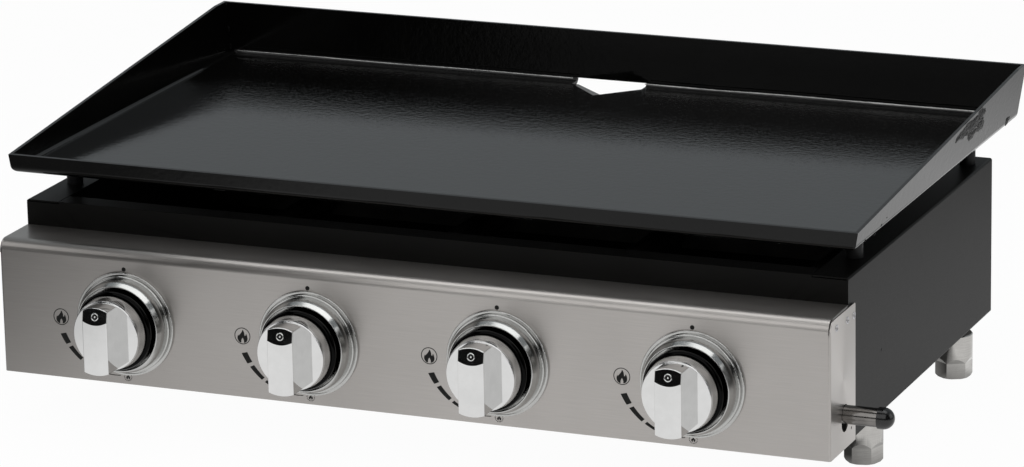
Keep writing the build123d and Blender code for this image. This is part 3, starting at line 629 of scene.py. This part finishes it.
# Pieces round the controls
def control_origin(i):
    """Point where a control's axis meets the panel's face."""
    low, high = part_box(f"knob_bezel_{i}")
    return Vector(((low.x + high.x) / 2, high.y, (low.z + high.z) / 2))


def flame(middle, height):
    """Outline of a flame with a lick inside it."""
    return rounded([(middle[0] + u * height, middle[1] + v * height) for u, v in flame_outline_shares])


def sweep_band(first, last, start_width, end_width):
    """Outline of a curved band that narrows along the sweep round a control."""
    sweep_start, sweep_end = sweep_angles[0][0], sweep_angles[-1][1]
    outer, inner = [], []
    for i in range(sweep_steps + 1):
        share = i / sweep_steps
        degrees = first + (last - first) * share
        whole_share = (degrees - sweep_start) / (sweep_end - sweep_start)
        radius = sweep_radii[0] + (sweep_radii[1] - sweep_radii[0]) * whole_share
        half = (start_width + (end_width - start_width) * share) / 2
        turn = radians(degrees)
        outer.append(((radius + half) * cos(turn), (radius + half) * sin(turn)))
        inner.append(((radius - half) * cos(turn), (radius - half) * sin(turn)))
    return outer + inner[::-1]


def ink_ring(shape, origin, outline, y):
    """Vertices over an outline of (x, z) points, that far behind the panel's face."""
    return [shape.verts.new((origin.x + x, origin.y + y, origin.z + z)) for x, z in outline]


def print_area(shape, origin, outline):
    """Thin plate of ink inside an outline."""
    loft(shape, [ink_ring(shape, origin, outline, y) for y in (mark_overlap, -mark_thickness)])


def print_ring(shape, origin, middle, radius, line):
    """Thin ring of ink on the panel's face."""
    rings = []
    for y, reach in (
        (mark_overlap, radius), (-mark_thickness, radius),
        (-mark_thickness, radius - line), (mark_overlap, radius - line),
    ):
        rings.append(ink_ring(shape, origin, circle(middle, reach), y))
    bridge(shape, rings + rings[:1])


def printed_marks(i):
    """Generic marks for off, high flame, low flame and the way between them."""
    origin = control_origin(i)
    high_middle = (-high_ring_reach, 0)
    low_middle = (0, -low_ring_drop)
    shape = bmesh.new()
    print_area(shape, origin, circle((0, off_dot_rise), off_dot_radius, off_dot_steps))
    print_ring(shape, origin, high_middle, high_ring_radius, high_ring_line)
    print_area(shape, origin, flame(high_middle, high_flame_height))
    for angles, widths in zip(sweep_angles, sweep_widths):
        print_area(shape, origin, sweep_band(*angles, *widths))
    for place in circle(low_middle, low_ring_radius, low_ring_dots):
        print_area(shape, origin, circle(place, low_ring_dot_radius, low_ring_dot_steps))
    print_area(shape, origin, flame(low_middle, low_flame_height))
    new_piece(f"printed_marks_{i}", shape, "printed_ink", "chassis")


def knob_band(i):
    """Fine ribs moulded round the tapered side of a knob."""
    origin = control_origin(i)
    shape = bmesh.new()
    steps = band_ribs * len(band_rib_points)
    rings = []
    for height, radius, ribbed in (
        (band_low, band_low_radius, False), (band_low, band_low_radius, True),
        (band_high, band_high_radius, True), (band_high, band_high_radius, False),
    ):
        ring = []
        for k in range(steps):
            rise = band_rib * band_rib_points[k % len(band_rib_points)] if ribbed else -band_sunk
            turn = 2 * pi * k / steps
            x = origin.x + (radius + rise) * cos(turn)
            z = origin.z + (radius + rise) * sin(turn)
            ring.append(shape.verts.new((x, origin.y - height, z)))
        rings.append(ring)
    bridge(shape, rings + rings[:1])
    new_piece(f"knob_grip_band_{i}", shape, "chrome", f"knob_{i}")


def pointer_ring(i):
    """Raised ring and dot on the sloping end of the grip, which shows where the knob points."""
    origin = control_origin(i)
    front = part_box(f"control_knob_{i}")[0].y
    slope = atan2(facet_drop, facet_end - facet_start)
    along = Vector((0, sin(slope), cos(slope)))
    normal = Vector((0, -cos(slope), sin(slope)))
    across = along.cross(normal)
    reach = (pointer_height - facet_start) / cos(slope)
    middle = Vector((origin.x, front, origin.z + facet_start)) + along * reach
    raised = middle + normal * pointer_tube * pointer_raised_share
    shape = bmesh.new()
    torus(shape, raised, across, along, pointer_radius, pointer_tube, *pointer_steps)
    dot = bmesh.ops.create_icosphere(shape, subdivisions=pointer_dot_detail, radius=pointer_dot)
    flat = Matrix((across, along, normal * pointer_dot_flatness)).transposed().to_4x4()
    bmesh.ops.transform(shape, matrix=Matrix.Translation(middle) @ flat, verts=dot["verts"])
    smooth(new_piece(f"pointer_ring_{i}", shape, "chrome", f"knob_{i}"))


def valve_spring(i):
    """Return spring of a valve, copied from the model's spring onto the valve's plug."""
    spring = frame["nodes"][f"stem_spring_{i}"].copy()
    spring.name = f"return_spring_{i}"
    spring.data = spring.data.copy()
    bpy.context.scene.collection.objects.link(spring)
    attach(spring, f"plug_{i}")
    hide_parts(f"stem_spring_{i}")
    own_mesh(spring)


# Pieces on the tray and the panel
def outer_wall(back, down):
    """Point on the outside of the tray's right wall, from its back and top edges."""
    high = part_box("griddle_plate")[1]
    return Vector((high.x - down * tray_slope, high.y - back, high.z - down))


def inner_wall(hand, forward, down):
    """Point on the inside of the tray's left (-1) or right (1) wall, from its back wall at the top
    and its top edge."""
    low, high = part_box("griddle_plate")
    side = low.x if hand < 0 else high.x
    x = side - hand * (tray_wall + down * tray_slope)
    return Vector((x, high.y - tray_wall - forward, high.z - down))


def tray_scar():
    """Weld scar and drips in the enamel on the outside of the tray's right wall."""
    along = Vector((sin(radians(tray_flare)), 0, cos(radians(tray_flare))))
    shape = bmesh.new()
    for spots, rise in ((scar_spots, scar_rise), (drip_spots, drip_rise)):
        for number, (back, down, half_length, half_width) in enumerate(spots):
            phase = scar_phase_step * number
            bead(shape, outer_wall(back, down), to_back, along, half_length, half_width, rise, phase)
    smooth(new_piece("tray_weld_scar", shape, "weld_enamel", "plate"))


def corner_welds():
    """Beads along the tray's inner corners at the back, and short runs beside them."""
    shape = bmesh.new()
    for hand in (-1, 1):
        outwards = Vector((hand, 1, 0)).normalized()
        upwards = Vector((hand * tray_slope, tray_slope, 1)).normalized()
        across = outwards.cross(upwards)
        for number, (share, radius) in enumerate(corner_spots):
            down = tray_height * (1 - share)
            corner = inner_wall(hand, down * tray_slope, down)
            middle = corner - outwards * radius * corner_inset_share
            half_length = radius * corner_length_share
            bead(shape, middle, across, upwards, radius, half_length, corner_rise, number + hand)
        downwards = Vector((-hand * tray_slope, 0, -1)).normalized()
        for number, (forward, share, half_length) in enumerate(run_spots):
            middle = inner_wall(hand, forward, tray_height * (1 - share))
            bead(shape, middle, to_back * hand, downwards, half_length, run_half_width, run_rise, number)
    smooth(new_piece("tray_corner_welds", shape, "weld_enamel", "plate"))


def wobble(share, waves):
    """Uneven wave along a run, from the counts of two waves."""
    return sin(waves[0] * share) * sin(waves[1] * share)


def paint_back_bend_highlight():
    """Painted highlight along the bend at the foot of the tray's back wall: a fine uneven pale bead, open at
    the drain.
    """
    low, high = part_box("griddle_plate")
    z = high.z - tray_height + tray_sheet + bend_highlight_rise
    inset = (high.z - z) * tray_slope + tray_wall
    middle = (low.x + high.x) / 2
    reach = (high.x - low.x) / 2 - inset - bend_highlight_margin
    shape = bmesh.new()
    for first, last in ((-reach, -drain_half_width), (drain_half_width, reach)):
        rings = []
        for k in range(bend_highlight_pieces + 1):
            x = first + (last - first) * k / bend_highlight_pieces
            share = (x + reach) / (2 * reach)
            drift = bend_highlight_drift * wobble(share, bend_highlight_drift_waves)
            growth = bend_highlight_left_share + (1 - bend_highlight_left_share) * share
            swell = bend_highlight_swell[0] + bend_highlight_swell[1] * wobble(share, bend_highlight_swell_waves)
            centre = (high.y - inset + drift * tray_slope, z + drift)
            outline = circle(centre, bend_highlight_radius * growth * swell, bend_highlight_sides)
            rings.append([shape.verts.new((middle + x, back, up)) for back, up in outline])
        loft(shape, rings)
    smooth(new_piece("tray_back_painted_highlight", shape, "painted_highlight_grey", "plate"))


def flange_spots():
    """Raised rims of the weld spots that join the panel's side flanges to its top."""
    low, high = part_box("control_panel")
    shape = bmesh.new()
    for behind, height_share in spot_places:
        for x in (high.x, low.x):
            middle = Vector((x, low.y + behind, low.z + (high.z - low.z) * height_share))
            torus(shape, middle, to_back, to_top, spot_radius, spot_tube, *spot_steps)
    smooth(new_piece("flange_weld_spots", shape, "zinc_steel", "chassis"))


# Rounded edges
def soften(node, width):
    """Rounds a solid's sharp edges with modifiers, which leave its own mesh as it is."""
    piece = frame["nodes"][node]
    weld = piece.modifiers.new("join_corners", "WELD")
    weld.merge_threshold = weld_gap
    bevel = piece.modifiers.new("soft_edges", "BEVEL")
    bevel.width = width
    bevel.segments = soft_segments
    bevel.limit_method = "ANGLE"
    bevel.angle_limit = radians(soft_angle)
    bevel.harden_normals = True


# Studio
def make_camera():
    """Camera at the photograph's viewing angle."""
    yaw, pitch, roll = radians(camera_yaw), radians(camera_pitch), radians(camera_roll)
    back = Vector((sin(yaw) * cos(pitch), -cos(yaw) * cos(pitch), sin(pitch)))
    right = Vector((cos(yaw), sin(yaw), 0))
    up = back.cross(right)
    turned_right = right * cos(roll) + up * sin(roll)
    turned_up = up * cos(roll) - right * sin(roll)
    low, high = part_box("front_panel")
    aim = Vector(((low.x + high.x) / 2 + aim_right, low.y, aim_height))
    data = bpy.data.cameras.new("photo_camera")
    data.sensor_width = sensor_width
    data.lens = sensor_width * focal_pixels / photo_width
    data.clip_end = camera_far
    camera = new_object("photo_camera", data)
    turned = Matrix((turned_right, turned_up, back)).transposed().to_4x4()
    camera.matrix_world = Matrix.Translation(aim + back * camera_distance) @ turned
    bpy.context.scene.camera = camera


def make_lamp(name, place, aim, width, depth, brightness):
    """Softbox of that brightness, seen in reflections and not by the camera."""
    data = bpy.data.lights.new(name, "AREA")
    data.shape = "RECTANGLE"
    data.size = width
    data.size_y = depth
    data.energy = brightness * pi * width * depth
    lamp = new_object(name, data)
    lamp.location = place
    lamp.rotation_mode = "QUATERNION"
    lamp.rotation_quaternion = (Vector(aim) - Vector(place)).to_track_quat("-Z", "Y")
    lamp.visible_camera = False


def make_room():
    """Room that is grey behind the object and dark in front of it."""
    world = bpy.data.worlds.new("studio_room")
    world.use_nodes = True
    bpy.context.scene.world = world
    tree = world.node_tree
    backwards = along_axis(tree, add(tree, "TexCoord").outputs["Generated"], "Y")
    colour = blend_colours(tree, spread(tree, backwards, 0, 1, *room_turn), room_front, room_back)
    tree.links.new(colour, tree.nodes["Background"].inputs["Color"])


def floor_colour(tree, mirrored):
    """Glow of the floor, which mirrored rays see as a painted pool of light, dimmer outside it, with a
    painted shadow under the object.
    """
    # Painted pool of light in front of the object, seen only by mirrored rays
    reach = vector_math(tree, "LENGTH", half_widths_off(tree, floor_light_pool_middle, floor_light_pool_half))["Value"]
    outside = spread(tree, reach, 0, 1, *floor_light_pool_edge)
    dimmed = combine(tree, "MULTIPLY", outside, mirrored)
    colour = blend_colours(tree, dimmed, floor_glow, floor_far_glow)
    # Painted shadow under the object, seen only by mirrored rays
    off = vector_math(tree, "ABSOLUTE", half_widths_off(tree, floor_shadow_middle, floor_shadow_half))[0]
    farther = combine(tree, "MAXIMUM", along_axis(tree, off, "X"), along_axis(tree, off, "Y"))
    under = spread(tree, farther, 1, 0, *floor_shadow_edge)
    return blend_colours(tree, combine(tree, "MULTIPLY", under, mirrored), colour, floor_shadow)


def floor_material():
    """Pale surface that looks white, also in metal and glass near the object, and keeps its shadow."""
    material = new_material("studio_floor")
    tree, surface = surface_nodes(material)
    surface.inputs["Base Color"].default_value = floor_shade
    surface.inputs["Roughness"].default_value = 1.0
    surface.inputs["Specular IOR Level"].default_value = 0.0
    rays = add(tree, "LightPath").outputs
    mirrored = combine(tree, "MAXIMUM", rays["Is Glossy Ray"], rays["Is Transmission Ray"])
    glow = add(tree, "Emission", {"Color": floor_colour(tree, mirrored), "Strength": 1.0}).outputs[0]
    seen = combine(tree, "MAXIMUM", rays["Is Camera Ray"], mirrored)
    share = combine(tree, "MULTIPLY", seen, floor_glow_share)
    mixed = add(tree, "MixShader", {0: share, 1: surface.outputs[0], 2: glow}).outputs[0]
    tree.links.new(mixed, tree.nodes["Material Output"].inputs["Surface"])
    return material


def make_floor():
    """Floor of the studio, which is no part of the object."""
    shape = bmesh.new()
    bmesh.ops.create_grid(shape, x_segments=floor_cells, y_segments=floor_cells, size=floor_half_size)
    floor = mesh_object("studio_floor", shape, floor_material())


# Object in its finishes
coarse_back()
# Painted shade towards the ends of the panel's sheet
shade_panel_ends()
# Painted shade on the knobs' skirt behind the ribbed band
shade_knob_skirt()
for row in frame["record"]["subparts"]:
    for holder in frame["nodes"][row["node"]].material_slots:
        holder.material = node_finish(row)

soften("griddle_plate", plate_edge)
for node in ("control_panel", "left_side_panel", "right_side_panel", "front_panel", "rear_panel"):
    soften(node, sheet_edge)
for corner in ("front_left", "front_right", "rear_left", "rear_right"):
    soften(f"{corner}_foot", foot_edge)

controls = [name for name in frame["nodes"] if name.startswith("knob_bezel_")]
for number in range(1, len(controls) + 1):
    printed_marks(number)
    knob_band(number)
    pointer_ring(number)
    valve_spring(number)
tray_scar()
corner_welds()
# Painted highlight along the foot of the tray's back wall
paint_back_bend_highlight()
flange_spots()

# Studio round it
make_camera()
make_room()
make_floor()
for name, settings in lamps.items():
    make_lamp(name, *settings)
bpy.context.scene.view_settings.view_transform = "Standard"
